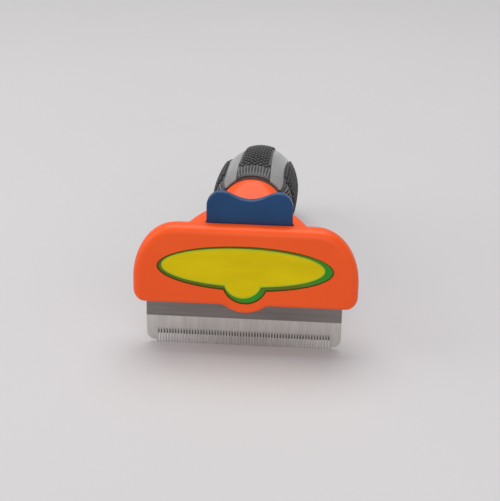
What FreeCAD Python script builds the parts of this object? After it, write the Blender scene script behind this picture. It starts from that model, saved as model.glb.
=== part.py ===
"""Deshedding tool: a T-headed grooming comb with a toothed steel blade and a sprung hair ejector.

Millimetres. X runs across the head, +Y runs from the badge on the head back to the butt of the
handle, and +Z is up. The tool stands on its blade teeth and on the underside of the butt, both at
Z = 0, and the origin is the middle of its base. Everything is laid out with the head's front face
at y = 0, and place() moves each finished solid back by half the length.
"""

import math
import os

import FreeCAD
import Part

V = FreeCAD.Vector
Y_AXIS = V(0, 1, 0)
Z_AXIS = V(0, 0, 1)

# ---------------------------------------------------------------- driving dimensions
LENGTH = 149.0            # front face to the tip of the butt

# blade
BLADE_FRONT = 8.0
BLADE_WIDTH = 67.3
BLADE_X = -0.7            # the blade sits a little to the left of the head's middle
BLADE_THICKNESS = 1.6
BLADE_TOP = 29.6
BEVEL_TOP = 10.4          # where the ground bevel starts
TIP_THICKNESS = 0.5
SLOT_COUNT = 61
SLOT_PITCH = 0.985
SLOT_WIDTH = 0.46
SLOT_TOP_FRONT = 5.6      # the slots are ground at a slant, so they are longer in front
SLOT_TOP_BACK = 2.0
END_LIFT = 0.7            # the plain rounded ends stop this far above the teeth tips
END_RADIUS = 3.0

# head
HEAD_WIDTH = 75.9
HEAD_BOTTOM = 18.7
HEAD_TOP = 46.4
CORNER_WIDTH = 14.5       # the upper corners are quarter ellipses
CORNER_HEIGHT = 19.5
LOWER_CORNER = 4.0
PART_LINE = 5.0           # the front cover ends here and the rear housing starts
HEAD_BACK = 15.8
BACK_INSET = 3.9          # the housing's sides and roof close in this much towards its back
BACK_INSET_LOW = 1.0      # and its underside this much
BACK_ROUND = 2.5
WALL = 2.0
FACE_WALL = 2.6
FRONT_ROUND = 2.8         # edge round over the top and sides of the cover
LOWER_ROUND = 1.4         # edge round along the bottom of the cover
LOBE_HALF_WIDTH = 7.4     # rounded lobe that the cover hangs over the blade
LOBE_BOTTOM = 15.9
LOBE_COVE = 3.0
LIP_HALF_WIDTH = 33.4     # lip that closes the blade slot in front of the blade
SLOT_HALF_WIDTH = 34.7
BOSS_RADIUS = 2.9
COVER_RIB_X = (-21.5, -8.0, 8.0, 21.5)   # ribs behind the cover that bear on the blade
COVER_RIB_HALF_WIDTH = 0.7

# badge, a blank plate in two colours in a shallow pocket
BADGE_HALF_WIDTH = 29.6
BADGE_HALF_HEIGHT = 8.1
BADGE_Z = 32.3
BACKING_TAB_BOTTOM = 19.5
BACKING_TAB_RADIUS = 7.7
FACE_HALF_WIDTH = 27.4
FACE_HALF_HEIGHT = 6.85
FACE_SHIFT_X = -0.75      # the yellow face sits left of and above the middle of its backing
FACE_SHIFT_Z = 0.4
FACE_TAB_BOTTOM = 21.6
FACE_TAB_RADIUS = 6.5
POCKET_DEPTH = 0.8
BACKING_THICKNESS = 0.5
FACE_THICKNESS = 0.3

# hair ejector
TRAVEL = 7.5
SLIDE_GAP = 0.3
BUTTON_FRONT = 5.3
BUTTON_BACK = 7.9
HORN_TOP = 57.4
HORN_RADIUS = 5.0
BUTTON_HALF_WIDTH = 14.35
BUTTON_X = 0.8            # the thumb plate sits a little to the right of the head's middle
SADDLE_Z = 54.6           # lowest point of the thumb saddle between the horns
THUMB_SLOPE_DROP = 0.2    # the thumb surface falls this much from front to back
BAR_HALF_SPAN = 23.6
BAR_BOTTOM = 37.6
BAR_TOP = [               # (y, z) along the bar's top, which slopes like the housing's roof
    (5.8, 42.6), (8.2, 42.2), (13.2, 40.2),
]
BAR_BACK = 13.4
LEG_X = 9.0
LEG_WIDTH = 7.0
LEG_BOTTOM = 29.2
WIPER_FRONT = 9.9
WIPER_BACK = 11.8
WIPER_BOTTOM = 10.0
WIPER_TOP = 21.2
WIPER_TAB_TOP = 35.5
WIPER_HALF_WIDTH = 31.5
LEG_SCREW_Z = 32.3

# return springs and their guide pins
SPRING_X = 21.8
SPRING_Y = 11.9
SPRING_MEAN_RADIUS = 1.5
SPRING_WIRE = 0.45
SPRING_TURNS = 8
SPRING_SEAT = 23.2
LEDGE_THICKNESS = 1.6
PIN_RADIUS = 0.9
PIN_TOP = 28.6
NIPPLE_LENGTH = 1.0

# screws: self-tapping, in holes a little larger than their shanks
SCREW_ROW_Z = 25.5
BLADE_SCREW_X = (-16.0, 0.0, 16.0)
COVER_SCREW_X = 27.0
COVER_SCREW_TOP_Z = 34.0
TAP_HOLE = 1.1
SHANK_RADIUS = 1.05

# neck: (y, half width, bottom, top, squareness: 2 is an ellipse and more is boxier)
NECK_SECTIONS = [
    (5.0, 23.0, 19.6, 46.4, 5.0),
    (9.0, 22.4, 20.6, 46.6, 5.0),
    (14.0, 19.6, 23.2, 47.2, 5.0),
    (19.0, 16.8, 26.2, 47.8, 4.0),
    (24.0, 13.7, 28.4, 49.4, 2.8),
    (28.0, 12.0, 29.2, 51.8, 2.2),
    (32.5, 11.5, 29.7, 53.1, 2.0),
]
NECK_END = 32.5
NECK_END_ROUND = 1.3
COLLAR_RADIUS = 9.9
COLLAR_END = 40.0

# handle, whose centreline falls towards the butt as a parabola
GRIP_START = 33.1
AXIS_START_Z = 41.3
AXIS_SLOPE = 0.02
AXIS_CURVE = 0.002195
ROUND_START = 136.5       # the butt is rounded from here to the end
GRIP_OVAL = 1.05          # the grip is this much taller than it is wide
GRIP_RADII = [            # (y, half width)
    (33.1, 12.1), (38.5, 13.5), (46.0, 14.0), (56.0, 14.1), (66.0, 14.0), (80.0, 13.2),
    (96.0, 12.2), (112.0, 11.9), (126.0, 12.2), (136.5, 12.4), (149.0, 12.4),
]
SHELL_WALL = 3.4
RIM_LIP = 0.45            # the grip's front end is hollowed out to this thin lip
RIM_DEPTH = 1.8
CAVITY_START = 38.0
CAVITY_END = 143.0
SPINE_HALF_WIDTH = 5.0
SPINE_HALF_HEIGHT = 4.5
SPINE_END = 100.0
HANDLE_SCREW_Y = (52.0, 71.0, 90.0)
HANDLE_BOSS_RADIUS = 3.8
HANDLE_SCREW_SEAT = -8.6  # from the centreline, where each screw head bears on the lower shell
HANDLE_SCREW_TIP = 8.0

# rubber grip pads, set into pockets in the shells
PAD_DEPTH = 1.2
PAD_PROUD = 0.1
PAD_GAP = 0.1
TOP_PAD_HALF_WIDTHS = (5.9, 4.7)   # at its front and back ends
TOP_PAD_ENDS = (33.0, 114.0)
FINGER_PAD_HALF_WIDTHS = (7.0, 6.0)
FINGER_PAD_ENDS = (46.0, 110.0)
SIDE_PAD_END = 118.0
SIDE_PAD_EDGE = [         # (y, height above and below the centreline), from the rim backwards
    (33.0, 7.6), (38.0, 8.8), (44.0, 9.8), (50.0, 10.2), (60.0, 10.1), (75.0, 9.2),
    (90.0, 7.6), (104.0, 5.4), (113.0, 2.9),
]

FAR = 200.0               # longer than the tool in every direction, for cutting


# ---------------------------------------------------------------- small helpers
def place(shape):
    """A finished solid, moved into the tool's own frame."""
    moved = shape.copy()
    moved.translate(V(0, -LENGTH / 2, 0))
    return moved


def save(name, *solids):
    """Writes one STEP file of one or more solids."""
    for solid in solids:
        if not solid.isValid() or len(solid.Solids) != 1:
            print("CHECK", name, "valid", solid.isValid(), "solids", len(solid.Solids))
    shapes = [place(solid) for solid in solids]
    whole = shapes[0] if len(shapes) == 1 else Part.makeCompound(shapes)
    whole.exportStep(os.path.join("parts", name + ".step"))


def single(shape):
    """The one solid in the result of a boolean."""
    return shape.Solids[0] if len(shape.Solids) == 1 else shape


def block(x0, x1, y0, y1, z0, z1):
    return Part.makeBox(x1 - x0, y1 - y0, z1 - z0, V(x0, y0, z0))


def y_rod(radius, x, z, y0, y1):
    return Part.makeCylinder(radius, y1 - y0, V(x, y0, z), Y_AXIS)


def z_rod(radius, x, y, z0, z1):
    return Part.makeCylinder(radius, z1 - z0, V(x, y, z0), Z_AXIS)


def arc(start, middle, end):
    return Part.Arc(start, middle, end).toShape()


def line(start, end):
    return Part.makeLine(start, end)


def closed_wire(edges):
    return Part.Wire(Part.__sortEdges__(edges))


def prism(edges, depth):
    """A solid from a closed outline in an XZ plane, carried along +Y."""
    return Part.Face(closed_wire(edges)).extrude(V(0, depth, 0))


def side_prism(points, half_width):
    """A solid from (y, z) points seen from the side, as wide as twice half_width."""
    corners = [V(-half_width, y, z) for y, z in points]
    wire = Part.makePolygon([*corners, corners[0]])
    return Part.Face(wire).extrude(V(2 * half_width, 0, 0))


def round_edges(shape, radii):
    """Rounds edges, each (edge number, radius at its first end, radius at its last end)."""
    document = FreeCAD.newDocument()
    base = document.addObject("Part::Feature", "Base")
    base.Shape = shape
    rounded = document.addObject("Part::Fillet", "Rounded")
    rounded.Base = base
    rounded.Edges = radii
    document.recompute()
    result = rounded.Shape.copy()
    FreeCAD.closeDocument(document.Name)
    return single(result)


def screw(head_radius, head_height, shank_radius, length):
    """A pan-head cross-recess screw whose head bears on z = 0 and whose shank points along +Z."""
    head = Part.makeCylinder(head_radius, head_height, V(0, 0, -head_height), Z_AXIS)
    rim = [e for e in head.Edges if e.BoundBox.ZMax < -head_height + 0.01]
    head = head.makeFillet(head_height * 0.45, rim)
    body = head.fuse(Part.makeCylinder(shank_radius, length, V(0, 0, 0), Z_AXIS))
    tip = [e for e in body.Edges if e.BoundBox.ZMin > length - 0.01]
    body = body.makeChamfer(shank_radius * 0.5, tip)
    reach = head_radius * 0.6
    arm = head_radius * 0.13
    deep = head_height * 0.6
    cross = block(-reach, reach, -arm, arm, -head_height, -head_height + deep)
    cross = cross.fuse(block(-arm, arm, -reach, reach, -head_height, -head_height + deep))
    return single(body.cut(cross))


def set_screw(shape, x, y, z, direction):
    """A screw with its bearing face at (x, y, z), pointing along direction."""
    turned = shape.copy()
    turned.Placement = FreeCAD.Placement(V(x, y, z), FreeCAD.Rotation(Z_AXIS, direction))
    return turned


# ---------------------------------------------------------------- head outline
def head_outline(y, inset=0.0, low_inset=None, lobe=False):
    """The head's outline in the plane y, drawn in by inset, and by low_inset at the bottom."""
    half = HEAD_WIDTH / 2 - inset
    bottom = HEAD_BOTTOM + (inset if low_inset is None else low_inset)
    top = HEAD_TOP - inset
    corner_width = CORNER_WIDTH - inset
    corner_height = CORNER_HEIGHT - inset
    low = max(LOWER_CORNER - inset, 1.2)
    diagonal = low * (1 - math.sqrt(0.5))
    edges = [line(V(corner_width - half, y, top), V(half - corner_width, y, top))]
    for side in (-1, 1):
        centre = V(side * (half - corner_width), y, top - corner_height)
        crown = centre + V(0, 0, corner_height)
        flank = centre + V(side * corner_width, 0, 0)
        ellipse = Part.Ellipse(crown, flank, centre)
        ends = sorted((ellipse.parameter(crown), ellipse.parameter(flank)))
        if ends[1] - ends[0] > math.pi:
            ends = [ends[1], ends[0] + 2 * math.pi]
        edges.append(ellipse.toShape(*ends))
        edges.append(line(flank, V(side * half, y, bottom + low)))
        edges.append(arc(
            V(side * half, y, bottom + low),
            V(side * (half - diagonal), y, bottom + diagonal),
            V(side * (half - low), y, bottom),
        ))
    if lobe:
        return edges + lobe_edges(y, half - low)
    return [*edges, line(V(low - half, y, bottom), V(half - low, y, bottom))]


def lobe_edges(y, reach):
    """The cover's bottom edge: a round lobe, a cove each side of it, and two straight runs."""
    depth = HEAD_BOTTOM - LOBE_BOTTOM
    radius = (LOBE_HALF_WIDTH ** 2 + depth ** 2) / (2 * depth)
    centre_z = LOBE_BOTTOM + radius
    cove_z = HEAD_BOTTOM - LOBE_COVE
    between = radius + LOBE_COVE
    cove_x = math.sqrt(between ** 2 - (centre_z - cove_z) ** 2)
    touch_x = cove_x * radius / between
    touch_z = centre_z - (centre_z - cove_z) * radius / between
    edges = [arc(V(-touch_x, y, touch_z), V(0, y, LOBE_BOTTOM), V(touch_x, y, touch_z))]
    for side in (-1, 1):
        touch = V(side * touch_x, y, touch_z)
        start = math.atan2(touch_z - cove_z, touch_x - cove_x)
        middle = (start + math.pi / 2) / 2
        halfway = V(
            side * (cove_x + LOBE_COVE * math.cos(middle)), y,
            cove_z + LOBE_COVE * math.sin(middle),
        )
        level = V(side * cove_x, y, HEAD_BOTTOM)
        edges.append(arc(touch, halfway, level))
        edges.append(line(level, V(side * reach, y, HEAD_BOTTOM)))
    return edges


def badge_outline(y, half_width, half_height, centre, tab_radius, tab_bottom, grow=0.0):
    """An ellipse with a round tab hanging from its lower edge."""
    cx, cz = centre
    a = half_width + grow
    b = half_height + grow
    r = tab_radius + grow
    tab_z = tab_bottom + tab_radius
    near, far = 0.0, r * 0.999
    for _ in range(60):
        x = (near + far) / 2
        on_ellipse = cz - b * math.sqrt(1 - (x / a) ** 2)
        on_tab = tab_z - math.sqrt(r * r - x * x)
        if on_tab < on_ellipse:
            near = x
        else:
            far = x
    angle = math.atan2((on_tab - cz) / b, x / a)
    sweep = math.pi + 2 * abs(angle)
    steps = 48
    points = []
    for i in range(steps + 1):
        t = angle + sweep * i / steps
        points.append(V(cx + a * math.cos(t), y, cz + b * math.sin(t)))
    curve = Part.BSplineCurve()
    curve.interpolate(points)
    return [curve.toShape(), arc(points[-1], V(cx, y, tab_z - r), points[0])]


# ---------------------------------------------------------------- head parts
def cover_screw_points():
    """(x, z, whether it passes through the blade) for each cover screw."""
    points = []
    for side in (-1, 1):
        points.append((side * COVER_SCREW_X, SCREW_ROW_Z, True))
        points.append((side * COVER_SCREW_X, COVER_SCREW_TOP_Z, False))
    return points


def rounded_cover_blank():
    """The cover's outer shape, solid, with its front edge rounded."""
    blank = prism(head_outline(0, lobe=True), PART_LINE)
    corner_top = HEAD_BOTTOM + LOWER_CORNER
    radii = []
    for number, edge in enumerate(blank.Edges, 1):
        box = edge.BoundBox
        if box.YMax > 0.01:
            continue
        if box.ZMin > corner_top - 0.01:
            radii.append((number, FRONT_ROUND, FRONT_ROUND))
        elif box.ZMax > corner_top - 0.01:
            starts_high = edge.Vertexes[0].Z > corner_top - 0.1
            first = FRONT_ROUND if starts_high else LOWER_ROUND
            last = LOWER_ROUND if starts_high else FRONT_ROUND
            radii.append((number, first, last))
        else:
            radii.append((number, LOWER_ROUND, LOWER_ROUND))
    return round_edges(blank, radii)


def front_cover():
    cover = rounded_cover_blank().cut(prism(head_outline(FACE_WALL, WALL), PART_LINE))
    cover = cover.fuse(block(
        -LIP_HALF_WIDTH, LIP_HALF_WIDTH, PART_LINE - 0.5, BLADE_FRONT,
        HEAD_BOTTOM, HEAD_BOTTOM + WALL,
    ))
    for x in COVER_RIB_X:
        cover = cover.fuse(block(
            x - COVER_RIB_HALF_WIDTH, x + COVER_RIB_HALF_WIDTH, 2.0, BLADE_FRONT,
            HEAD_BOTTOM + 1, BLADE_TOP - 0.2,
        ))
    for x, z, through_blade in cover_screw_points():
        end = BLADE_FRONT if through_blade else PART_LINE
        cover = cover.fuse(y_rod(BOSS_RADIUS, x, z, 1.5, end))
        cover = cover.cut(y_rod(TAP_HOLE, x, z, 3.6, end + 1))
    pocket = prism(
        badge_outline(-1.0, BADGE_HALF_WIDTH, BADGE_HALF_HEIGHT, (0, BADGE_Z),
                      BACKING_TAB_RADIUS, BACKING_TAB_BOTTOM),
        POCKET_DEPTH + 1.0,
    )
    return single(cover.cut(pocket))


def badge_backing():
    edges = badge_outline(
        POCKET_DEPTH - BACKING_THICKNESS, BADGE_HALF_WIDTH, BADGE_HALF_HEIGHT, (0, BADGE_Z),
        BACKING_TAB_RADIUS, BACKING_TAB_BOTTOM, grow=-0.08,
    )
    return prism(edges, BACKING_THICKNESS)


def badge_face():
    edges = badge_outline(
        POCKET_DEPTH - BACKING_THICKNESS - FACE_THICKNESS, FACE_HALF_WIDTH, FACE_HALF_HEIGHT,
        (FACE_SHIFT_X, BADGE_Z + FACE_SHIFT_Z), FACE_TAB_RADIUS, FACE_TAB_BOTTOM,
    )
    return prism(edges, FACE_THICKNESS)


def blade():
    half = BLADE_WIDTH / 2
    back = BLADE_FRONT + BLADE_THICKNESS
    tip = back - TIP_THICKNESS
    section = [
        (BLADE_FRONT, BLADE_TOP), (back, BLADE_TOP), (back, 0), (tip, 0),
        (BLADE_FRONT, BEVEL_TOP),
    ]
    plate = side_prism(section, half)
    # outline of the plain ends and the chamfered top corners, seen from the front
    reach = SLOT_PITCH * SLOT_COUNT / 2 + SLOT_PITCH * 0.28
    outer = half - END_RADIUS
    end_top = END_LIFT + END_RADIUS
    diagonal = END_RADIUS * (1 - math.sqrt(0.5))
    for side in (-1, 1):
        end_cut = [
            line(V(side * reach, 0, -1), V(side * reach, 0, END_LIFT)),
            line(V(side * reach, 0, END_LIFT), V(side * outer, 0, END_LIFT)),
            arc(V(side * outer, 0, END_LIFT),
                V(side * (half - diagonal), 0, END_LIFT + diagonal),
                V(side * half, 0, end_top)),
            line(V(side * half, 0, end_top), V(side * (half + 1), 0, end_top)),
            line(V(side * (half + 1), 0, end_top), V(side * (half + 1), 0, -1)),
            line(V(side * (half + 1), 0, -1), V(side * reach, 0, -1)),
        ]
        plate = plate.cut(prism(end_cut, 20))
        corner = [
            line(V(side * (half + 1), 0, BLADE_TOP - 4), V(side * (half + 1), 0, BLADE_TOP + 1)),
            line(V(side * (half + 1), 0, BLADE_TOP + 1), V(side * (half - 4), 0, BLADE_TOP + 1)),
            line(V(side * (half - 4), 0, BLADE_TOP + 1), V(side * (half + 1), 0, BLADE_TOP - 4)),
        ]
        plate = plate.cut(prism(corner, 20))
    # slots between the teeth, cut by one thin wheel each, so they slope up towards the front
    wheel = [
        (BLADE_FRONT - 1, -1), (BLADE_FRONT - 1, SLOT_TOP_FRONT), (tip - 0.6, SLOT_TOP_FRONT),
        (back + 0.4, SLOT_TOP_BACK), (back + 0.4, -1),
    ]
    slots = []
    for i in range(SLOT_COUNT):
        x = (i - (SLOT_COUNT - 1) / 2) * SLOT_PITCH
        slot = side_prism(wheel, SLOT_WIDTH / 2)
        slot.translate(V(x, 0, 0))
        slots.append(slot)
    plate = plate.cut(Part.makeCompound(slots))
    plate.translate(V(BLADE_X, 0, 0))
    for x in (*BLADE_SCREW_X, -COVER_SCREW_X, COVER_SCREW_X):
        plate = plate.cut(y_rod(SHANK_RADIUS + 0.25, x, SCREW_ROW_Z, 0, 20))
    return single(plate)


def signed_power(value, power):
    return math.copysign(abs(value) ** power, value)


def neck():
    """The flared neck between the head and the grip, with its rounded end."""
    wires = []
    steps = 32
    for y, half_width, bottom, top, squareness in NECK_SECTIONS:
        centre_z = (top + bottom) / 2
        half_height = (top - bottom) / 2
        points = []
        for i in range(steps):
            t = 2 * math.pi * i / steps
            points.append(V(
                half_width * signed_power(math.cos(t), 2 / squareness), y,
                centre_z + half_height * signed_power(math.sin(t), 2 / squareness),
            ))
        curve = Part.BSplineCurve()
        curve.interpolate(points, PeriodicFlag=True)
        wires.append(Part.Wire([curve.toShape()]))
    loft = Part.makeLoft(wires, True, False)
    rim = [e for e in loft.Edges if e.BoundBox.YMin > NECK_END - 0.01]
    return loft.makeFillet(NECK_END_ROUND, rim)


def spine_block():
    """The bar inside the handle, following its centreline."""
    steps = 10
    start = GRIP_START - 2.0
    top, bottom = [], []
    for i in range(steps + 1):
        y = start + (SPINE_END - start) * i / steps
        top.append((y, axis_z(y) + SPINE_HALF_HEIGHT))
        bottom.append((y, axis_z(y) - SPINE_HALF_HEIGHT))
    return side_prism(top + bottom[::-1], SPINE_HALF_WIDTH)


def housing_wire(y, extra=0.0):
    """The rear housing's outline at y: it closes in towards the back, and by extra on top."""
    share = (y - PART_LINE) / (HEAD_BACK - PART_LINE)
    return closed_wire(head_outline(y, BACK_INSET * share + extra, BACK_INSET_LOW * share + extra))


def housing_blank():
    """The rear housing's outer shape, solid, with its back edge rounded."""
    turn = HEAD_BACK - BACK_ROUND
    taper = Part.makeLoft([housing_wire(PART_LINE), housing_wire(turn)], True, True)
    wires = []
    for step in range(5):
        angle = math.pi / 2 * step / 4
        extra = BACK_ROUND * (1 - math.cos(angle))
        wires.append(housing_wire(turn + BACK_ROUND * math.sin(angle), extra))
    return taper.fuse(Part.makeLoft(wires, True, False))


def body_frame():
    """Rear half of the head, the neck, and the spine that the handle shells clamp."""
    housing = housing_blank()
    body = housing.fuse(neck())
    body = body.fuse(y_rod(COLLAR_RADIUS, 0, axis_z(GRIP_START), NECK_END - 2, COLLAR_END))
    body = body.fuse(spine_block())
    inner_back = HEAD_BACK - WALL
    body = body.cut(Part.makeLoft([
        housing_wire(PART_LINE, WALL), housing_wire(inner_back, WALL)], True, True))
    # core of the neck
    body = body.cut(block(-6.5, 6.5, inner_back - 1, 27.0, 32.5, 42.0))
    # slots for the blade and wiper below, and for the button above
    body = body.cut(block(
        -SLOT_HALF_WIDTH, SLOT_HALF_WIDTH, PART_LINE - 1, WIPER_BACK + SLIDE_GAP,
        HEAD_BOTTOM - 1, HEAD_BOTTOM + BACK_INSET_LOW + WALL + 0.3,
    ))
    body = body.cut(block(
        BUTTON_X - BUTTON_HALF_WIDTH - SLIDE_GAP, BUTTON_X + BUTTON_HALF_WIDTH + SLIDE_GAP,
        PART_LINE - 1, BUTTON_BACK + SLIDE_GAP, HEAD_TOP - WALL - 3, HEAD_TOP + 5,
    ))
    blade_back = BLADE_FRONT + BLADE_THICKNESS
    for x in BLADE_SCREW_X:
        body = body.fuse(y_rod(BOSS_RADIUS, x, SCREW_ROW_Z, blade_back, inner_back + 0.5))
    for side in (-1, 1):
        ledge = block(
            side * SPRING_X - 2.1, side * SPRING_X + 2.1, WIPER_FRONT + 0.2, inner_back + 0.5,
            SPRING_SEAT - LEDGE_THICKNESS, SPRING_SEAT,
        )
        pin_hole = z_rod(PIN_RADIUS, side * SPRING_X, SPRING_Y, SPRING_SEAT - 5, SPRING_SEAT + 5)
        body = body.fuse(ledge).cut(pin_hole)
    for x, z, through_blade in cover_screw_points():
        start = blade_back if through_blade else PART_LINE
        body = body.fuse(y_rod(BOSS_RADIUS, x, z, start, inner_back + 0.5))
        body = body.cut(y_rod(SHANK_RADIUS + 0.25, x, z, 0, HEAD_BACK + 1))
        body = body.cut(y_rod(2.2, x, z, HEAD_BACK - 1.4, HEAD_BACK + 1))
    for x in BLADE_SCREW_X:
        body = body.cut(y_rod(TAP_HOLE, x, SCREW_ROW_Z, 0, inner_back + 0.4))
    for y in HANDLE_SCREW_Y:
        body = body.cut(z_rod(SHANK_RADIUS + 0.25, 0, y, axis_z(y) - 8, axis_z(y) + 8))
    return single(body)


# ---------------------------------------------------------------- ejector parts
def button_wire(y, shrink, drop):
    """The button's outline in the plane y: straight flanks, two horns and a saddle between."""
    half = BUTTON_HALF_WIDTH - shrink
    top = HORN_TOP - drop - shrink * 0.6
    saddle = SADDLE_Z - drop - shrink * 0.6
    radius = HORN_RADIUS - shrink * 0.4
    centre_x = half - radius
    centre_z = top - radius
    foot = BAR_BOTTOM
    edges = [line(V(-half, y, foot), V(half, y, foot))]
    for side in (-1, 1):
        edges.append(line(V(side * half, y, foot), V(side * half, y, centre_z)))
        edges.append(arc(
            V(side * half, y, centre_z),
            V(side * (centre_x + radius * math.sqrt(0.5)), y, centre_z + radius * math.sqrt(0.5)),
            V(side * centre_x, y, top),
        ))
        curve = Part.BezierCurve()
        curve.setPoles([
            V(side * centre_x, y, top), V(side * centre_x * 0.8, y, top),
            V(side * centre_x * 0.45, y, saddle), V(0, y, saddle),
        ])
        edges.append(curve.toShape())
    return closed_wire(edges)


def ejector_button():
    """Thumb button, cross bar over the springs, and the two legs that carry the wiper."""
    front = BUTTON_FRONT
    plate = Part.makeLoft([
        button_wire(front, 0.4, 0.0), button_wire(front + 0.4, 0.0, 0.0),
        button_wire(BUTTON_BACK, 0.0, THUMB_SLOPE_DROP),
    ], True, True)
    plate.translate(V(BUTTON_X, 0, 0))
    bar_outline = [(front + 0.5, BAR_BOTTOM), *BAR_TOP, (BAR_TOP[-1][0], BAR_BOTTOM)]
    body = plate.fuse(side_prism(bar_outline, BAR_HALF_SPAN))
    for side in (-1, 1):
        body = body.fuse(block(
            side * LEG_X - LEG_WIDTH / 2, side * LEG_X + LEG_WIDTH / 2,
            WIPER_BACK, BAR_BACK, LEG_BOTTOM, BAR_BOTTOM + 1.5,
        ))
        body = body.fuse(z_rod(
            PIN_RADIUS, side * SPRING_X, SPRING_Y, BAR_BOTTOM - NIPPLE_LENGTH, BAR_BOTTOM + 0.5))
        body = body.cut(y_rod(0.95, side * LEG_X, LEG_SCREW_Z, 0, 30))
        body = body.cut(y_rod(1.75, side * LEG_X, LEG_SCREW_Z, BAR_BACK - 0.9, 30))
    return single(body)


def ejector_wiper():
    """Plate behind the blade that pushes gathered hair off the teeth."""
    lower = [
        (WIPER_FRONT, WIPER_TOP), (WIPER_BACK, WIPER_TOP), (WIPER_BACK, WIPER_BOTTOM + 0.9),
        (WIPER_FRONT + 0.6, WIPER_BOTTOM), (WIPER_FRONT, WIPER_BOTTOM),
    ]
    plate = side_prism(lower, WIPER_HALF_WIDTH)
    for side in (-1, 1):
        plate = plate.fuse(block(
            side * LEG_X - LEG_WIDTH / 2, side * LEG_X + LEG_WIDTH / 2,
            WIPER_FRONT, WIPER_BACK, WIPER_TOP - 1, WIPER_TAB_TOP,
        ))
        plate = plate.cut(y_rod(0.85, side * LEG_X, LEG_SCREW_Z, 0, 30))
    return single(plate)


def return_spring(side):
    """Helical compression spring standing on its ledge, with the ejector up."""
    height = BAR_BOTTOM - SPRING_SEAT - SPRING_WIRE - 0.04
    pitch = height / SPRING_TURNS
    helix = Part.makeHelix(pitch, height, SPRING_MEAN_RADIUS)
    start = V(SPRING_MEAN_RADIUS, 0, 0)
    rise = math.atan2(pitch, 2 * math.pi * SPRING_MEAN_RADIUS)
    heading = V(0, math.cos(rise), math.sin(rise))
    ring = Part.Wire([Part.makeCircle(SPRING_WIRE / 2, start, heading)])
    coil = Part.Wire(helix.Edges).makePipeShell([ring], True, True)
    coil.translate(V(
        side * SPRING_X, SPRING_Y, SPRING_SEAT + SPRING_WIRE / 2 + 0.02))
    return coil


def spring_pin(side):
    return z_rod(PIN_RADIUS, side * SPRING_X, SPRING_Y, SPRING_SEAT - LEDGE_THICKNESS, PIN_TOP)


# ---------------------------------------------------------------- handle surface
def axis_z(y):
    """Height of the handle's centreline."""
    t = y - GRIP_START
    return AXIS_START_Z - AXIS_SLOPE * t - AXIS_CURVE * t * t


def axis_fall(y):
    """How steeply the centreline falls at y."""
    return AXIS_SLOPE + 2 * AXIS_CURVE * (y - GRIP_START)


def grip_radius(y):
    """A smooth curve through GRIP_RADII, closed by a quarter ellipse at the butt."""
    table = GRIP_RADII
    i = max(k for k in range(len(table) - 1) if table[k][0] <= y + 1e-9)
    y0, r0 = table[i]
    y1, r1 = table[i + 1]
    before = table[max(i - 1, 0)]
    after = table[min(i + 2, len(table) - 1)]
    h = y1 - y0
    slope0 = (r1 - before[1]) / (y1 - before[0])
    slope1 = (after[1] - r0) / (after[0] - y0)
    t = (y - y0) / h
    r = (2 * t ** 3 - 3 * t ** 2 + 1) * r0 + (3 * t ** 2 - 2 * t ** 3) * r1
    r += h * ((t ** 3 - 2 * t ** 2 + t) * slope0 + (t ** 3 - t ** 2) * slope1)
    if y > ROUND_START:
        s = (y - ROUND_START) / (LENGTH - ROUND_START)
        r *= math.sqrt(max(0.0, 1 - s * s))
    return r


def grip_section(y, radius):
    """A vertical section: an oval square to the centreline, so taller where that slopes."""
    half_height = radius * GRIP_OVAL * math.sqrt(1 + axis_fall(y) ** 2)
    centre = V(0, y, axis_z(y))
    ellipse = Part.Ellipse(centre + V(0, 0, half_height), centre + V(radius, 0, 0), centre)
    return Part.Wire([ellipse.toShape()])


def grip_body(offset, start, end):
    """The handle's shape from start to end, grown by offset."""
    straight_end = min(end, ROUND_START)
    count = 20
    stations = [start + (straight_end - start) * i / count for i in range(count + 1)]
    if end > ROUND_START:
        steps = 7
        reach = math.asin((end - ROUND_START) / (LENGTH - ROUND_START))
        for i in range(1, steps + 1):
            stations.append(ROUND_START + (LENGTH - ROUND_START) * math.sin(reach * i / steps))
    wires = [grip_section(y, max(grip_radius(y) + offset, 0.6)) for y in stations]
    return Part.makeLoft(wires, True, False)


def seam_half(up):
    """Everything above (up = 1) or below (up = -1) the seam along the handle's centreline."""
    y0, y1 = GRIP_START - 5, LENGTH + 5
    rise = -axis_fall(y0) * (y1 - y0) / 2
    start = V(-FAR, y0, axis_z(y0))
    end = V(-FAR, y1, axis_z(y1))
    bend = V(-FAR, (y0 + y1) / 2, axis_z(y0) + rise)
    curve = Part.BezierCurve()
    curve.setPoles([start, bend, end])
    far_end = V(-FAR, y1, up * FAR)
    far_start = V(-FAR, y0, up * FAR)
    wire = Part.Wire([
        curve.toShape(), line(end, far_end), line(far_end, far_start), line(far_start, start)])
    return Part.Face(wire).extrude(V(2 * FAR, 0, 0))


def long_window(half_widths, ends, grow, z0, z1):
    """A block with a square front end and a round back end, seen from above."""
    front, back = half_widths[0] + grow, half_widths[1] + grow
    y0, y1 = ends[0] - grow, ends[1] + grow
    centre = y1 - back
    edges = [
        line(V(-front, y0, z0), V(front, y0, z0)),
        line(V(front, y0, z0), V(back, centre, z0)),
        arc(V(back, centre, z0), V(0, y1, z0), V(-back, centre, z0)),
        line(V(-back, centre, z0), V(-front, y0, z0)),
    ]
    return Part.Face(Part.Wire(edges)).extrude(V(0, 0, z1 - z0))


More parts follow.
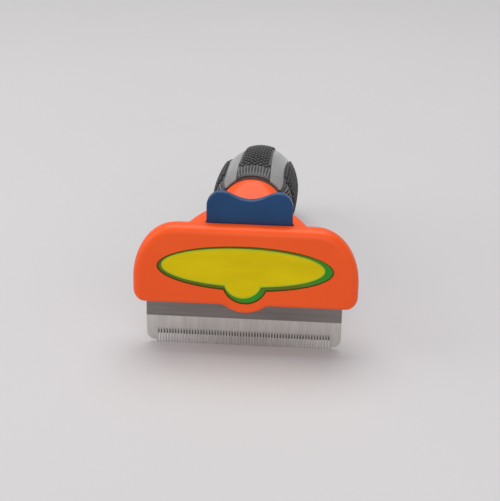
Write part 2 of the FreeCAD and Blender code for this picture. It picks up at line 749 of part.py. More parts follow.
def leaf_window(side, grow):
    """The block that outlines a side pad: square at the rim and drawn to a point behind."""
    x = side * 3.0
    tip = V(x, SIDE_PAD_END + 2 * grow, axis_z(SIDE_PAD_END))
    corners = []
    edges = []
    for up in (1, -1):
        points = []
        for y, height in SIDE_PAD_EDGE:
            points.append(V(x, y, axis_z(y) + up * (height + grow)))
        points.append(tip)
        curve = Part.BSplineCurve()
        curve.interpolate(points)
        edges.append(curve.toShape())
        corners.append(points[0])
    edges.append(line(corners[0], corners[1]))
    return Part.Face(closed_wire(edges)).extrude(V(side * 40, 0, 0))


def pad_window(name, grow):
    """The block that outlines a grip pad, widened by grow."""
    if name == "top_grip_pad":
        window = long_window(TOP_PAD_HALF_WIDTHS, TOP_PAD_ENDS, grow, -20, FAR)
        return window.common(seam_half(1))
    if name == "finger_grip_pad":
        window = long_window(FINGER_PAD_HALF_WIDTHS, FINGER_PAD_ENDS, grow, -FAR, 60)
        return window.common(seam_half(-1))
    return leaf_window(1 if name == "right_grip_pad" else -1, grow)


def rim_recess():
    """The shadow gap inside the grip's front rim, round the end of the neck."""
    return grip_body(-RIM_LIP, GRIP_START, GRIP_START + RIM_DEPTH)


PAD_NAMES = ("top_grip_pad", "finger_grip_pad", "right_grip_pad", "left_grip_pad")


def grip_pad(name, pocket_floor):
    """One rubber pad, from its pocket's floor to a little proud of the grip's surface."""
    skin = grip_body(PAD_PROUD, GRIP_START, LENGTH - 20).cut(pocket_floor).cut(rim_recess())
    return single(skin.common(pad_window(name, 0.0)))


def handle_shells(outer, pocket_floor):
    """The upper and lower halves of the grip."""
    tube = outer.cut(grip_body(-SHELL_WALL, CAVITY_START, CAVITY_END))
    tube = tube.cut(y_rod(COLLAR_RADIUS, 0, axis_z(GRIP_START), NECK_END - 2, COLLAR_END))
    tube = tube.cut(rim_recess())
    ring = outer.cut(pocket_floor)
    for name in PAD_NAMES:
        tube = tube.cut(ring.common(pad_window(name, PAD_GAP)))
    bosses = None
    for y in HANDLE_SCREW_Y:
        boss = z_rod(HANDLE_BOSS_RADIUS, 0, y, axis_z(y) - 12.5, axis_z(y) + 12.5)
        bosses = boss if bosses is None else bosses.fuse(boss)
    bosses = bosses.common(pocket_floor).cut(spine_block())
    tube = tube.fuse(bosses)
    upper = tube.common(seam_half(1))
    lower = tube.common(seam_half(-1))
    for y in HANDLE_SCREW_Y:
        z = axis_z(y)
        upper = upper.cut(z_rod(TAP_HOLE, 0, y, z, z + HANDLE_SCREW_TIP + 0.6))
        lower = lower.cut(z_rod(SHANK_RADIUS + 0.25, 0, y, z - 30, z))
        lower = lower.cut(z_rod(2.7, 0, y, z - 30, z + HANDLE_SCREW_SEAT))
    return single(upper), single(lower)


# ---------------------------------------------------------------- build
def main():
    os.makedirs("parts", exist_ok=True)
    save("front_cover", front_cover())
    save("badge_backing", badge_backing())
    save("badge_face", badge_face())
    save("body_frame", body_frame())
    save("blade", blade())

    head_screw = screw(2.0, 1.3, SHANK_RADIUS, 4.0)
    blade_screws = []
    for x in BLADE_SCREW_X:
        blade_screws.append(set_screw(head_screw, x, BLADE_FRONT, SCREW_ROW_Z, Y_AXIS))
    save("blade_screws", *blade_screws)

    long_screw = screw(2.0, 1.2, SHANK_RADIUS, 10.0)
    cover_screws = []
    for x, z, _ in cover_screw_points():
        cover_screws.append(set_screw(long_screw, x, HEAD_BACK - 1.4, z, -Y_AXIS))
    save("cover_screws", *cover_screws)

    save("ejector_button", ejector_button())
    save("ejector_wiper", ejector_wiper())
    small_screw = screw(1.6, 0.8, 0.8, 2.4)
    ejector_screws = []
    for side in (-1, 1):
        ejector_screws.append(
            set_screw(small_screw, side * LEG_X, BAR_BACK - 0.9, LEG_SCREW_Z, -Y_AXIS))
    save("ejector_screws", *ejector_screws)
    save("return_spring_left", return_spring(-1))
    save("return_spring_right", return_spring(1))
    save("spring_pins", spring_pin(-1), spring_pin(1))

    outer = grip_body(0.0, GRIP_START, LENGTH)
    outer = outer.common(block(-FAR, FAR, 0, FAR, 0, FAR))
    pocket_floor = grip_body(-PAD_DEPTH, GRIP_START, LENGTH - 15)
    upper, lower = handle_shells(outer, pocket_floor)
    save("handle_top_shell", upper)
    save("handle_bottom_shell", lower)
    for name in PAD_NAMES:
        save(name, grip_pad(name, pocket_floor))
    long_handle_screw = screw(2.5, 1.7, SHANK_RADIUS, HANDLE_SCREW_TIP - HANDLE_SCREW_SEAT)
    handle_screws = []
    for y in HANDLE_SCREW_Y:
        handle_screws.append(
            set_screw(long_handle_screw, 0, y, axis_z(y) + HANDLE_SCREW_SEAT, Z_AXIS))
    save("handle_screws", *handle_screws)


main()
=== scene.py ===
import math

import bmesh
import bpy
from mathutils import Matrix, Vector
from mathutils.bvhtree import BVHTree


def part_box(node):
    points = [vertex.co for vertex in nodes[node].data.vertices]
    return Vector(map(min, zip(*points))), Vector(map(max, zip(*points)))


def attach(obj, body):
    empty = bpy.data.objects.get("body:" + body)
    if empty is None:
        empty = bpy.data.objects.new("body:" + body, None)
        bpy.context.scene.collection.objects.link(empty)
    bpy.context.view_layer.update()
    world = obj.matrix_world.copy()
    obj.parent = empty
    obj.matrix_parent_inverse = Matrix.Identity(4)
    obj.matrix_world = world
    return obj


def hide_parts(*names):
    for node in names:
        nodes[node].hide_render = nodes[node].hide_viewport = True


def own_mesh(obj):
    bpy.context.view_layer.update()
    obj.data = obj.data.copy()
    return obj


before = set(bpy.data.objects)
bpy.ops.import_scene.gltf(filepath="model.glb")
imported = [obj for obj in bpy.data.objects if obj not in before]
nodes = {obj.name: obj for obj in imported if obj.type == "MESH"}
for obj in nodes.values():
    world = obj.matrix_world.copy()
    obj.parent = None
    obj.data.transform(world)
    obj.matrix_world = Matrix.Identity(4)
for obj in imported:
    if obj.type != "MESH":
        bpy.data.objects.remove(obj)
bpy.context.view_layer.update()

MM = 0.001
ALONG = Vector((0, 1, 0))   # from the head to the butt
HALF_LENGTH = 74.5          # the row frame's y is the distance from the front face less this

# The handle's centreline, in mm. It falls away from AXIS_HEIGHT, faster and faster.
AXIS_START = 33.1           # from the front face
AXIS_HEIGHT = 41.3          # there, above the table
AXIS_SLOPE = 0.02           # there
AXIS_CURVE = 0.002195

# Angles round the centreline, from the top of the grip.
TOP, RIGHT, LEFT, UNDER = 0.0, math.pi / 2, -math.pi / 2, math.pi

GRIP_RADIUS = 13.6          # about the middle of the grip, for spacing nubs round it
RAY_REACH = 30 * MM         # from outside the grip to its centreline
STEEPEST = 0.75             # cosine of the most that a pad may turn away from a ray


# ---------------------------------------------------------------- material helpers
class Graph:
    """A material's nodes, with short calls for the ones used again and again."""

    def __init__(self, name):
        self.material = bpy.data.materials.new(name)
        self.material.use_nodes = True
        self.tree = self.material.node_tree
        self.tree.nodes.clear()
        output = self.tree.nodes.new("ShaderNodeOutputMaterial")
        self.shader = self.tree.nodes.new("ShaderNodeBsdfPrincipled")
        self.link(self.shader.outputs["BSDF"], output.inputs["Surface"])
        self.place = self.tree.nodes.new("ShaderNodeTexCoord").outputs["Object"]

    def link(self, source, target):
        self.tree.links.new(source, target)

    def set(self, **values):
        """Shader inputs by name, with an underscore for each space."""
        for key, value in values.items():
            self.shader.inputs[key.replace("_", " ")].default_value = value

    def scaled(self, scale):
        mapping = self.tree.nodes.new("ShaderNodeMapping")
        mapping.inputs["Scale"].default_value = scale
        self.link(self.place, mapping.inputs["Vector"])
        return mapping.outputs["Vector"]

    def noise(self, scale, detail=3.0, stretch=None, rough=0.55):
        """Random mottling. A larger scale is finer, and so is a larger stretch along an axis."""
        texture = self.tree.nodes.new("ShaderNodeTexNoise")
        texture.inputs["Scale"].default_value = scale
        texture.inputs["Detail"].default_value = detail
        texture.inputs["Roughness"].default_value = rough
        self.link(self.scaled(stretch) if stretch else self.place, texture.inputs["Vector"])
        return texture.outputs["Fac"]

    def ramp(self, value, dark, light, low=0.3, high=0.7):
        """A colour that goes from dark at the low value to light at the high one."""
        node = self.tree.nodes.new("ShaderNodeValToRGB")
        elements = node.color_ramp.elements
        for i, (position, colour) in enumerate(((low, dark), (high, light))):
            elements[i].position = position
            elements[i].color = (*colour, 1.0)
        self.link(value, node.inputs["Fac"])
        return node.outputs["Color"]

    def span(self, value, low, high, to_low, to_high):
        """Carries low to high over to to_low to to_high, and stops at both ends."""
        node = self.tree.nodes.new("ShaderNodeMapRange")
        node.clamp = True
        keys = ("From Min", "From Max", "To Min", "To Max")
        for key, number in zip(keys, (low, high, to_low, to_high)):
            node.inputs[key].default_value = number
        self.link(value, node.inputs["Value"])
        return node.outputs["Result"]

    def sunk(self, distance, low, high, most=1.0):
        """From 0 in the open to most where things within the distance shut a place in."""
        node = self.tree.nodes.new("ShaderNodeAmbientOcclusion")
        node.samples = 8
        node.inputs["Distance"].default_value = distance
        return self.span(node.outputs["AO"], low, high, most, 0.0)

    def combine(self, operation, first, second):
        node = self.tree.nodes.new("ShaderNodeMath")
        node.operation = operation
        self.link(first, node.inputs[0])
        self.link(second, node.inputs[1])
        return node.outputs[0]

    def mix(self, share, first, second):
        """First at a share of 0 and second at 1. Each is a colour or another node's output."""
        node = self.tree.nodes.new("ShaderNodeMix")
        node.data_type = "RGBA"
        self.link(share, node.inputs[0])
        for socket, colour in ((node.inputs[6], first), (node.inputs[7], second)):
            if isinstance(colour, tuple):
                socket.default_value = (*colour, 1.0)
            else:
                self.link(colour, socket)
        return node.outputs[2]

    def axis(self, letter):
        node = self.tree.nodes.new("ShaderNodeSeparateXYZ")
        self.link(self.place, node.inputs["Vector"])
        return node.outputs[letter]

    def colour(self, source):
        self.link(source, self.shader.inputs["Base Color"])

    def roughness(self, value, smooth, dull, low=0.3, high=0.7):
        self.link(self.span(value, low, high, smooth, dull), self.shader.inputs["Roughness"])

    def bump(self, *layers):
        """Each layer is (height, distance in mm, strength)."""
        normal = None
        for height, distance, strength in layers:
            node = self.tree.nodes.new("ShaderNodeBump")
            node.inputs["Distance"].default_value = distance * MM
            node.inputs["Strength"].default_value = strength
            self.link(height, node.inputs["Height"])
            if normal:
                self.link(normal, node.inputs["Normal"])
            normal = node.outputs["Normal"]
        self.link(normal, self.shader.inputs["Normal"])


def linear(red, green, blue):
    """An sRGB display colour, 0 to 255, as the shader's linear one."""
    result = []
    for part in (red, green, blue):
        c = part / 255
        result.append(c / 12.92 if c <= 0.04045 else ((c + 0.055) / 1.055) ** 2.4)
    return tuple(result)


def darker(colour, share):
    return tuple(share * part for part in colour)


# ---------------------------------------------------------------- materials
def moulded(name, light, dark, rough, grain=0.25, coat=0.0, soft=0.0, gloss=0.3, shade_reach=1.0):
    """Injection-moulded plastic: faint flow mottling, a fine spark-eroded grain, uneven gloss.

    shade_reach is how far from a corner, in mm, shade is painted into the plastic as a darker
    colour.
    """
    g = Graph(name)
    clean = g.ramp(g.noise(45, 4), dark, light)
    # painted shade: corners, creases and gaps between parts are mixed towards a darker colour
    corner = g.sunk(shade_reach * MM, 0.25, 0.8, most=0.75)
    g.colour(g.mix(corner, clean, darker(dark, 0.25)))
    g.roughness(g.noise(160, 5), rough - 0.05, rough + 0.07)
    g.bump((g.noise(5200, 2), 0.02, grain), (g.noise(240, 2), 0.04, 0.12))
    g.set(Coat_Weight=coat, Coat_Roughness=0.25, Subsurface_Weight=soft,
          Subsurface_Scale=1.5 * MM, Specular_IOR_Level=gloss)
    return g.material


def enamelled(g, smooth, dull):
    """The uneven gloss and the fine grain that the badge's plates and lines share."""
    g.roughness(g.noise(300, 4), smooth, dull)
    g.bump((g.noise(2600, 2), 0.01, 0.25))


def smooth_flat_finish(name, light, dark, rough):
    """A thin smooth plate or line, with faint drawn streaks."""
    g = Graph(name)
    g.colour(g.ramp(g.noise(60, 4, stretch=(1.0, 1.0, 3.5)), dark, light))
    enamelled(g, rough - 0.05, rough + 0.08)
    g.set(Coat_Weight=0.03, Coat_Roughness=0.2, Specular_IOR_Level=0.08)
    return g.material


def backing_plate(name):
    """Green enamel plate, left green at the right-hand tip and round the tab, and darkened to
    olive elsewhere as painted shade from the pocket's wall.
    """
    g = Graph(name)
    across = g.axis("X")
    at_tip = g.span(across, 16 * MM, 26.5 * MM, 0.0, 1.0)
    at_tab = g.span(g.axis("Z"), 26.2 * MM, 23.2 * MM, 0.0, 1.0)
    right_of_tab = g.span(across, -7 * MM, 1 * MM, 0.25, 1.0)
    green_share = g.combine("MAXIMUM", at_tip, g.combine("MULTIPLY", at_tab, right_of_tab))
    mottle = g.noise(80, 4)
    # painted shade: the olive colour stands for the shade that the pocket's wall casts on the
    # plate
    olive_painted_shade = g.ramp(mottle, linear(84, 104, 14), linear(100, 122, 18))
    green_side = g.ramp(mottle, linear(36, 136, 26), linear(46, 150, 34))
    g.colour(g.mix(green_share, olive_painted_shade, green_side))
    enamelled(g, 0.38, 0.5)
    g.set(Coat_Weight=0.1, Coat_Roughness=0.2, Specular_IOR_Level=0.25)
    return g.material


def blade_steel():
    """Stainless strip: a rolled upper band and a brighter ground bevel below it. The upper band's
    dark colour is partly its rolled finish and partly painted shade under the head's overhang,
    and the slots are painted nearly black as shade.
    """
    g = Graph("blade_steel_ground")
    on_bevel = g.span(g.axis("Z"), 10.3 * MM, 10.55 * MM, 1.0, 0.0)
    rolled = g.noise(90, 5, stretch=(0.5, 1.0, 9.0), rough=0.6)
    ground = g.noise(700, 4, stretch=(1.0, 1.0, 0.06), rough=0.6)
    # painted shade: the rolled band is coloured much darker than the bevel, partly for the shade
    # under the head's overhang
    upper = g.ramp(rolled, (0.178, 0.164, 0.156), (0.272, 0.252, 0.242), 0.25, 0.75)
    lower = g.ramp(ground, (0.60, 0.59, 0.57), (0.79, 0.775, 0.75), 0.25, 0.75)
    slot_shade = g.sunk(0.6 * MM, 0.3, 0.85)
    g.colour(g.mix(slot_shade, g.mix(on_bevel, upper, lower), (0.03, 0.028, 0.026)))
    g.roughness(ground, 0.34, 0.5, 0.2, 0.8)
    g.bump((rolled, 0.02, 0.2), (ground, 0.01, 0.3))
    g.set(Metallic=0.85, Anisotropic=0.4)
    return g.material


def plain_steel(name, light, dark, rough):
    g = Graph(name)
    g.colour(g.ramp(g.noise(900, 3), dark, light))
    g.roughness(g.noise(1500, 3), rough - 0.06, rough + 0.08)
    g.bump((g.noise(4000, 2), 0.01, 0.3))
    g.set(Metallic=1.0)
    return g.material


def rubber(name, light, dark):
    """Matt rubber with dusty mottling, and painted shade darkening it down between the nubs."""
    g = Graph(name)
    dust = g.noise(260, 5)
    base = g.ramp(dust, dark, light, high=0.75)
    # painted shade: places shut in by nubs are mixed towards a far darker colour
    g.colour(g.mix(g.sunk(1.4 * MM, 0.5, 1.0), base, darker(dark, 0.1)))
    g.roughness(dust, 0.42, 0.6)
    g.bump((g.noise(3500, 3), 0.03, 0.35))
    g.set(Sheen_Weight=0.12, Sheen_Roughness=0.5)
    return g.material


def studio_paper():
    g = Graph("studio_paper")
    g.colour(g.ramp(g.noise(2.0, 3), (0.558, 0.552, 0.563), (0.586, 0.580, 0.592)))
    g.roughness(g.noise(30, 3), 0.75, 0.9)
    g.bump((g.noise(900, 4), 0.1, 0.1))
    return g.material


orange = moulded("orange_plastic_moulded", linear(252, 92, 18), linear(245, 84, 14), 0.4,
                 coat=0.12, soft=0.08)
blue = moulded("blue_plastic_moulded", linear(26, 72, 119), linear(20, 62, 105), 0.34,
               coat=0.35, gloss=0.1)
# painted shade reaches furthest on the grey, to darken the gap at the grip's rim and round the
# pads
grey = moulded("grey_plastic_moulded", linear(159, 160, 159), linear(135, 136, 135), 0.3,
               grain=0.15, coat=0.4, gloss=0.5, shade_reach=1.6)
green = backing_plate("green_plate_enamel")
# painted shadow: the olive line stands for the shadow of the pocket's wall on the backing plate
olive = smooth_flat_finish("olive_pocket_shadow_line", linear(84, 92, 12), linear(70, 78, 10), 0.45)
yellow = smooth_flat_finish("yellow_plate_enamel", linear(226, 202, 8), linear(214, 190, 6), 0.42)
lime = smooth_flat_finish("lime_edge_print", linear(186, 206, 46), linear(170, 190, 34), 0.4)
black = rubber("black_rubber_moulded", linear(78, 78, 81), linear(38, 38, 41))
# painted highlight: a paler copy of the black rubber, standing for the light caught by the ribs
rib_highlight_rubber = rubber("black_rubber_painted_highlight", linear(124, 124, 126), linear(92, 92, 94))
steel = blade_steel()
screw_steel = plain_steel("screw_steel_plated", (0.62, 0.61, 0.58), (0.46, 0.45, 0.43), 0.3)
spring_steel = plain_steel("spring_steel_drawn", (0.42, 0.41, 0.4), (0.28, 0.27, 0.27), 0.34)

FINISHES = {
    "front_cover": orange, "body_frame": orange, "badge_backing": green, "badge_face": yellow,
    "blade": steel, "blade_screws": screw_steel, "cover_screws": screw_steel,
    "ejector_screws": screw_steel, "handle_screws": screw_steel, "ejector_button": blue,
    "ejector_wiper": blue, "return_spring_left": spring_steel,
    "return_spring_right": spring_steel, "spring_pins": screw_steel,
    "handle_top_shell": grey, "handle_bottom_shell": grey, "top_grip_pad": black,
    "finger_grip_pad": black, "right_grip_pad": black, "left_grip_pad": black,
}
for name, finish in FINISHES.items():
    mesh = nodes[name].data
    if not mesh.materials:
        mesh.materials.append(finish)
    for slot in nodes[name].material_slots:
        slot.link = "OBJECT"
        slot.material = finish


# ---------------------------------------------------------------- piece helpers
def mesh_object(name, builder, material, smooth):
    """An object in the scene from a bmesh, which is used up."""
    mesh = bpy.data.meshes.new(name)
    builder.to_mesh(mesh)
    builder.free()
    mesh.materials.append(material)
    for face in mesh.polygons:
        face.use_smooth = smooth
    obj = bpy.data.objects.new(name, mesh)
    bpy.context.scene.collection.objects.link(obj)
    return obj


def piece(name, builder, material, smooth=True):
    """A named piece of the tool from a bmesh, with its faces turned outwards."""
    bmesh.ops.recalc_face_normals(builder, faces=builder.faces[:])
    obj = mesh_object(name, builder, material, smooth)
    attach(obj, "tool")
    return obj
    return obj


def bridge(first, second, builder):
    """Faces between two closed rows of vertices."""
    for i in range(len(first)):
        j = (i + 1) % len(first)
        builder.faces.new((first[i], first[j], second[j], second[i]))


def skin(rings, builder):
    """Joins closed rings of points into a solid, with a flat face at each end."""
    rows = [[builder.verts.new(p) for p in ring] for ring in rings]
    for first, second in zip(rows, rows[1:]):
        bridge(first, second, builder)
    builder.faces.new(rows[0][::-1])
    builder.faces.new(rows[-1])


# ---------------------------------------------------------------- places on the grip
def at(x, y, z):
    """A point given in mm from the front face, in the row frame."""
    return Vector((x, y - HALF_LENGTH, z)) * MM


def tree_of(name):
    return BVHTree.FromObject(nodes[name], bpy.context.evaluated_depsgraph_get())


def surface(tree, y, angle):
    """Where a ray from outside, square to the centreline, meets the pad: (point, normal)."""
    beyond = y - AXIS_START
    fall = AXIS_SLOPE + 2 * AXIS_CURVE * beyond
    up = Vector((0, fall, 1)).normalized()
    outward = Vector((math.sin(angle), 0, 0)) + up * math.cos(angle)
    centre = at(0, y, AXIS_HEIGHT - AXIS_SLOPE * beyond - AXIS_CURVE * beyond * beyond)
    point, normal, _, _ = tree.ray_cast(centre + outward * RAY_REACH, -outward, RAY_REACH)
    if point is None or normal.dot(outward) < STEEPEST:
        return None
    return point, normal


def inside(tree, y, angle, margin):
    """The place on the pad, if the pad's outer surface reaches margin mm all round it."""
    here = surface(tree, y, angle)
    if here is None:
        return None
    tests = 8
    past_a_step = 1.5 * margin * MM
    for i in range(tests):
        t = 2 * math.pi * i / tests
        near = surface(
            tree, y + margin * math.cos(t), angle + margin * math.sin(t) / GRIP_RADIUS)
        if near is None or (near[0] - here[0]).length > past_a_step:
            return None
    return here


# ---------------------------------------------------------------- nubs and ribs of the pads
def nub(builder, point, normal, radius, height):
    """A low round nub standing on a surface, sunk a little into it."""
    sides = 8
    profile = ((1.1, -0.12), (0.96, 0.4), (0.8, 0.8), (0.42, 1.0))   # shares of radius and height
    first = ALONG.cross(normal).normalized()
    second = normal.cross(first)
    rings = []
    for wide, high in profile:
        ring = []
        for i in range(sides):
            t = 2 * math.pi * (i + 0.5) / sides
            across = first * math.cos(t) + second * math.sin(t)
            ring.append(point + (normal * (height * high) + across * (radius * wide)) * MM)
        rings.append(ring)
    skin(rings, builder)


def nub_field(name, node, middle, ends, spread, pitch, radius, height, across):
    """Closely packed nubs over one pad, in rows across the grip or along it.

    Rows are a little closer than the pitch and every other one is shifted by half of it. A nub
    is left out where it would hang over the pad's edge. Spread is half the pad's angle.
    """
    tree = tree_of(node)
    builder = bmesh.new()
    y0, y1 = ends
    between_rows = pitch * math.sqrt(3) / 2
    step_y, step_round = (between_rows, pitch) if across else (pitch, between_rows)
    turn = step_round / GRIP_RADIUS
    reach = int(spread / turn) + 1
    on_the_pad = 0.85 * radius
    for row in range(int((y1 - y0) / step_y) + 1):
        for k in range(-reach, reach + 1):
            y = y0 + row * step_y
            angle = middle + k * turn
            if across:
                angle += row % 2 * turn / 2
            else:
                y += k % 2 * pitch / 2
            here = inside(tree, y, angle, on_the_pad)
            if here:
                nub(builder, *here, radius, height)
    piece(name, builder, black)


def rib_row(name, node, middle, ends, count, pitch, half_width, height):
    """Round-backed ribs along the grip, side by side at the front of a pad."""
    tree = tree_of(node)
    builder = bmesh.new()
    y0, y1 = ends
    steps = 12              # along a rib
    back_steps = 6          # round its back
    end_share = 0.25        # of the height, where a rib starts
    end_rise = 2.2          # in shares of the height over the whole length
    sink = 0.08             # into the pad, in mm
    for k in range(count):
        angle = middle + (k - (count - 1) / 2) * pitch / GRIP_RADIUS
        rings = []
        for i in range(steps + 1):
            here = surface(tree, y0 + (y1 - y0) * i / steps, angle)
            if here is None:
                continue
            point, normal = here
            side = ALONG.cross(normal).normalized()
            share = min(1.0, end_share + end_rise * min(i, steps - i) / steps)
            ring = []
            for j in range(back_steps + 1):
                t = math.pi * j / back_steps
                lift = height * share * math.sin(t) - sink
                ring.append(point + (side * (half_width * math.cos(t)) + normal * lift) * MM)
            rings.append(ring)
        if len(rings) > 2:
            skin(rings, builder)
    piece(name, builder, rib_highlight_rubber)


SIDES = (("right", RIGHT), ("left", LEFT))

nub_field("top_pad_nubs", "top_grip_pad", TOP, ends=(40.2, 112.5), spread=0.5,
          pitch=1.95, radius=0.7, height=0.7, across=True)
nub_field("finger_pad_nubs", "finger_grip_pad", UNDER, ends=(47.5, 108.5), spread=0.6,
          pitch=1.95, radius=0.7, height=0.65, across=True)
for side, middle in SIDES:
    nub_field(side + "_pad_nubs", side + "_grip_pad", middle, ends=(40.6, 117.0), spread=0.95,
              pitch=1.6, radius=0.46, height=1.0, across=False)
rib_row("top_pad_ribs", "top_grip_pad", TOP, ends=(33.4, 39.3),
        count=11, pitch=1.05, half_width=0.33, height=0.5)
for side, middle in SIDES:
    rib_row(side + "_pad_ribs", side + "_grip_pad", middle, ends=(33.4, 39.8),
            count=13, pitch=1.2, half_width=0.36, height=0.75)


# ---------------------------------------------------------------- edge lines of the badge
def badge_points(half_width, half_height, centre_x, centre_z, tab_radius, tab_bottom, grow):
    """The badge's outline, an ellipse with a round tab, as (x, z) in mm."""
    ellipse_steps = 160
    tab_steps = 48
    halvings = 50
    a = half_width + grow
    b = half_height + grow
    r = tab_radius + grow
    tab_z = tab_bottom + tab_radius
    near = 0.0
    far = r * 0.999
    for _ in range(halvings):       # to the x where the tab's circle crosses the ellipse
        x = (near + far) / 2
        on_ellipse = centre_z - b * math.sqrt(1 - (x / a) ** 2)
        on_tab = tab_z - math.sqrt(r * r - x * x)
        if on_tab < on_ellipse:
            near = x
        else:
            far = x
    points = []
    start = math.atan2((on_tab - centre_z) / b, x / a)
    sweep = math.pi + 2 * abs(start)
    for i in range(ellipse_steps + 1):      # over the top, from the right of the tab to its left
        t = start + sweep * i / ellipse_steps
        points.append((centre_x + a * math.cos(t), centre_z + b * math.sin(t)))
    join = math.atan2(on_tab - tab_z, x)
    for i in range(1, tab_steps):           # and back under the tab
        t = math.pi - join + (math.pi + 2 * join) * i / tab_steps
        points.append((centre_x + r * math.cos(t), tab_z + r * math.sin(t)))
    return points


def edge_line(name, outline, grows, y, thickness, material):
    """A thin line round the badge, between two offsets of its outline. The lime line runs round
    the yellow plate; the olive one is painted shadow from the pocket's wall.
    """
    builder = bmesh.new()
    outer, inner = [badge_points(**outline, grow=grow) for grow in grows]
    front = y - thickness
    rows = []
    for points, depth in ((outer, y), (outer, front), (inner, front), (inner, y)):
        rows.append([builder.verts.new(at(x, depth, z)) for x, z in points])
    for first, second in zip(rows, rows[1:] + rows[:1]):
        bridge(first, second, builder)
    piece(name, builder, material, smooth=False)


# The outlines of the plates, in mm.
FACE = dict(half_width=27.4, half_height=6.85, centre_x=-0.75, centre_z=32.7,
            tab_radius=6.5, tab_bottom=21.6)
BACKING = dict(half_width=29.6, half_height=8.1, centre_x=0.0, centre_z=32.3,
               tab_radius=7.7, tab_bottom=19.5)
edge_line("badge_face_edge_line", FACE, grows=(-0.02, -0.55), y=0.01, thickness=0.02,
          material=lime)
# painted shadow: a dark olive strip laid where the pocket's wall shades the backing plate
edge_line("badge_backing_shadow_line", BACKING, grows=(-0.1, -0.5), y=0.31, thickness=0.03,
          material=olive)


# ---------------------------------------------------------------- return springs, in mm
SPRING_BOTTOM = 23.2
SPRING_TOP = 37.6
COIL_RADIUS = 1.5
COIL_TURNS = 9.5
CLOSED_TURNS = 0.75         # at each end
WIRE_RADIUS = 0.225
END_GAP = 0.02              # between a spring and what it presses on


def coil(name, node):
    """A drawn-wire spring with closed ends."""
    steps_a_turn = 24
    wire_sides = 8
    low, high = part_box(node)
    centre = (low + high) / 2
    length = SPRING_TOP - SPRING_BOTTOM
    closed_rise = 2 * (2 * WIRE_RADIUS) * CLOSED_TURNS
    open_rise = length - 2 * WIRE_RADIUS - closed_rise - 2 * END_GAP
    open_turns = COIL_TURNS - 2 * CLOSED_TURNS
    builder = bmesh.new()
    rings = []
    for i in range(int(COIL_TURNS * steps_a_turn) + 1):
        turn = i / steps_a_turn
        share = min(max((turn - CLOSED_TURNS) / open_turns, 0.0), 1.0)
        closed_so_far = min(turn, CLOSED_TURNS) + max(turn - COIL_TURNS + CLOSED_TURNS, 0.0)
        height = (SPRING_BOTTOM + END_GAP + WIRE_RADIUS
                  + 2 * WIRE_RADIUS * closed_so_far + share * open_rise)
        t = 2 * math.pi * turn
        out = Vector((math.cos(t), math.sin(t), 0))
        middle = Vector((centre.x, centre.y, height * MM)) + out * (COIL_RADIUS * MM)
        ring = []
        for j in range(wire_sides):
            s = 2 * math.pi * j / wire_sides
            across = out * math.cos(s) + Vector((0, 0, math.sin(s)))
            ring.append(middle + across * (WIRE_RADIUS * MM))
        rings.append(ring)
    skin(rings, builder)
    obj = piece(name, builder, spring_steel)
    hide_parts(node)
    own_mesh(obj)


coil("return_coil_left", "return_spring_left")
coil("return_coil_right", "return_spring_right")


# ---------------------------------------------------------------- smooth shading of CAD nodes
for name, obj in nodes.items():
    if not name.startswith("return_spring"):
        normals = obj.modifiers.new("Weighted", "WEIGHTED_NORMAL")
        normals.keep_sharp = True


# ---------------------------------------------------------------- floor, light and camera
def backdrop():
    """Seamless paper, in metres: flat under the tool, curving up far behind it."""
    front = -3.0
    bend_start = 0.9
    bend_radius = 0.6
    bend_steps = 12
    wall_top = 3.0
    half_width = 3.0
    drop = 0.0002           # below the tool's lowest point
    profile = [(front, 0.0), (bend_start, 0.0)]
    for i in range(1, bend_steps + 1):
        t = math.pi / 2 * i / bend_steps
        profile.append((bend_start + bend_radius * math.sin(t), bend_radius * (1 - math.cos(t))))
    profile.append((bend_start + bend_radius, wall_top))
    builder = bmesh.new()
    rows = []
    for x in (-half_width, 0.0, half_width):
        rows.append([builder.verts.new((x, y, z - drop)) for y, z in profile])
    for first, second in zip(rows, rows[1:]):
        for i in range(len(profile) - 1):
            builder.faces.new((first[i], second[i], second[i + 1], first[i + 1]))
    mesh_object("studio_floor", builder, studio_paper(), smooth=True)


def softbox(name, position, target, size, power, colour):
    """A rectangular light that faces its target. Places and sizes are in metres."""
    data = bpy.data.lights.new(name, "AREA")
    data.shape = "RECTANGLE"
    data.size, data.size_y = size
    data.energy = power
    data.color = colour
    obj = bpy.data.objects.new(name, data)
    obj.location = position
    aim = Vector(target) - Vector(position)
    obj.rotation_mode = "QUATERNION"
    obj.rotation_quaternion = aim.to_track_quat("-Z", "Y")
    bpy.context.scene.collection.objects.link(obj)


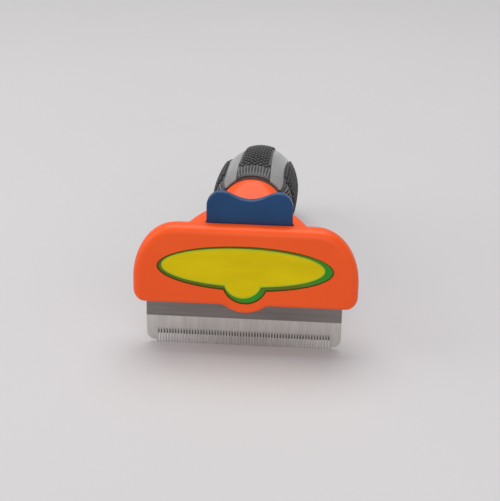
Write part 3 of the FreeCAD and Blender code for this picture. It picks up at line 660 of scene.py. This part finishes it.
def studio_air():
    """Even pale light from all round, and colours shown as they are."""
    world = bpy.data.worlds.new("studio_air")
    world.use_nodes = True
    sky = world.node_tree.nodes["Background"]
    sky.inputs["Color"].default_value = (0.93, 0.92, 0.93, 1.0)
    sky.inputs["Strength"].default_value = 0.43
    bpy.context.scene.world = world
    bpy.context.scene.view_settings.view_transform = "Standard"


def photo_camera():
    """A long lens in front of the head, a little above it and a little to its +X side."""
    pitch = math.radians(22)
    yaw = math.radians(3.6)
    roll = math.radians(1.1)
    distance = 450.0        # from here on in mm
    to_the_right = 1.6707   # of the line to the target, so that the tool is a little left
    upwards = 33.2405       # and above that line, so that it is low in the picture
    target = Vector((0, 8 - HALF_LENGTH, 0))     # on the table, under the head
    forward = Vector((-math.sin(yaw) * math.cos(pitch), math.cos(yaw) * math.cos(pitch),
                      -math.sin(pitch)))
    level = Vector((math.cos(yaw), math.sin(yaw), 0))
    upright = level.cross(forward)
    right = level * math.cos(roll) + upright * math.sin(roll)
    up = upright * math.cos(roll) - level * math.sin(roll)
    eye = target - forward * distance + right * to_the_right + up * upwards
    data = bpy.data.cameras.new("photo_camera")
    data.sensor_width = 36.0
    data.lens = 93.0852
    data.clip_start = 0.01
    data.clip_end = 20.0
    obj = bpy.data.objects.new("photo_camera", data)
    turned = Matrix((right, up, -forward)).transposed().to_4x4()
    obj.matrix_world = Matrix.Translation(eye * MM) @ turned
    bpy.context.scene.collection.objects.link(obj)
    bpy.context.scene.camera = obj


backdrop()
softbox("softbox_top", position=(-0.05, 0.25, 1.15), target=(0, 0.05, 0.02),
        size=(1.2, 1.0), power=11, colour=(1.0, 0.985, 0.97))
softbox("softbox_front", position=(0.25, -1.2, 0.55), target=(0, -0.05, 0.03),
        size=(1.2, 0.8), power=4.6, colour=(1.0, 0.99, 0.98))
softbox("softbox_left", position=(-0.9, -0.2, 0.5), target=(0, 0, 0.04),
        size=(0.7, 0.9), power=3, colour=(0.98, 0.99, 1.0))
studio_air()
photo_camera()
